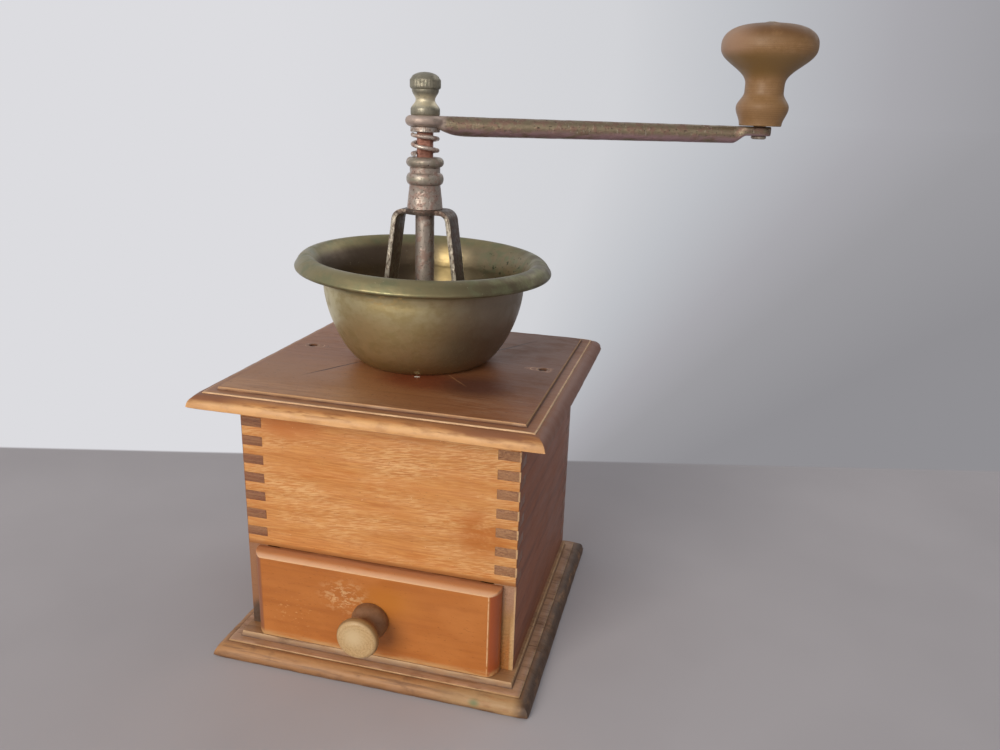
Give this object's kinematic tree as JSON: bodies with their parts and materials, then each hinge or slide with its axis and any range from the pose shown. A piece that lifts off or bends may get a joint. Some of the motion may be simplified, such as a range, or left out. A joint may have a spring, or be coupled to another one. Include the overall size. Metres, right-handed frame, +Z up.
{
  "type": "box coffee mill",
  "caption": "Antique box coffee mill: finger jointed wooden case with moulded boards, pull-out drawer, open brass hopper, sprung crank with turned grip and a conical burr pair",
  "frame": {"origin": "on the shaft's axis, in the plane of the underside of the base board", "axes": "+Z up along the shaft, -Y the way the drawer opens, +X to the right of someone facing the drawer"},
  "size_m": [0.2277, 0.1495, 0.2693],
  "materials": {
    "amber_wood": "old shellac, worn",
    "red_wood": "red-brown stain, worn",
    "orange_wood": "orange shellac, scuffed",
    "pale_wood": "bare, worn and dusty",
    "grip_wood": "turned, polished by use",
    "old_brass": "dull, tarnished, some verdigris",
    "nut_brass": "turned, tarnished",
    "brown_iron": "forged, brown patina with rust",
    "dark_iron": "cast or forged, dark",
    "worn_steel": "worn bright in places"
  },
  "bodies": {
    "root": {"base_board": "pale_wood", "left_side_board": "red_wood", "right_side_board": "red_wood", "front_board": "amber_wood", "back_board": "amber_wood", "top_board": "red_wood", "top_nails": "dark_iron", "base_screws": "dark_iron", "hopper_bowl": "old_brass", "yoke": "brown_iron", "yoke_bolts": "worn_steel", "yoke_nuts": "dark_iron", "shaft_bushing": "brown_iron", "spring_seat_ring": "brown_iron", "ring_burr": "dark_iron"},
    "crank": {"crank_arm": "brown_iron", "crank_washer": "worn_steel", "crank_spring": "worn_steel", "knob_pin": "brown_iron"},
    "knob": {"crank_knob": "grip_wood"},
    "nut": {"top_nut": "nut_brass"},
    "shaft": {"drive_shaft": "brown_iron", "cone_burr": "dark_iron", "burr_pin": "worn_steel"},
    "drawer": {"drawer_front": "orange_wood", "drawer_left_side": "amber_wood", "drawer_right_side": "amber_wood", "drawer_back": "amber_wood", "drawer_bottom": "pale_wood", "drawer_nails": "dark_iron", "drawer_knob": "pale_wood"}
  },
  "joints": [
    {"name": "crank_turn", "type": "hinge", "parent": "root", "child": "crank", "pos_m": [0, 0, 0.2264], "axis": [0, 0, 1], "continuous": true},
    {"name": "knob_spin", "type": "hinge", "parent": "crank", "child": "knob", "pos_m": [0.13584, 0.03387, 0.2486], "axis": [0, 0, 1], "continuous": true},
    {"name": "nut_turn", "type": "hinge", "parent": "crank", "child": "nut", "pos_m": [0, 0, 0.2371], "axis": [0, 0, 1], "range_deg": [-360, 720]},
    {"name": "shaft_lift", "type": "slide", "parent": "crank", "child": "shaft", "axis": [0, 0, 1], "range_m": [-0.0025, 0.00125]},
    {"name": "drawer_slide", "type": "slide", "parent": "root", "child": "drawer", "axis": [0, -1, 0], "range_m": [0, 0.1]}
  ],
  "couplings": [
    {"joint": "nut_turn", "follows": "shaft_lift", "rad_per_m": -5026.5}
  ]
}
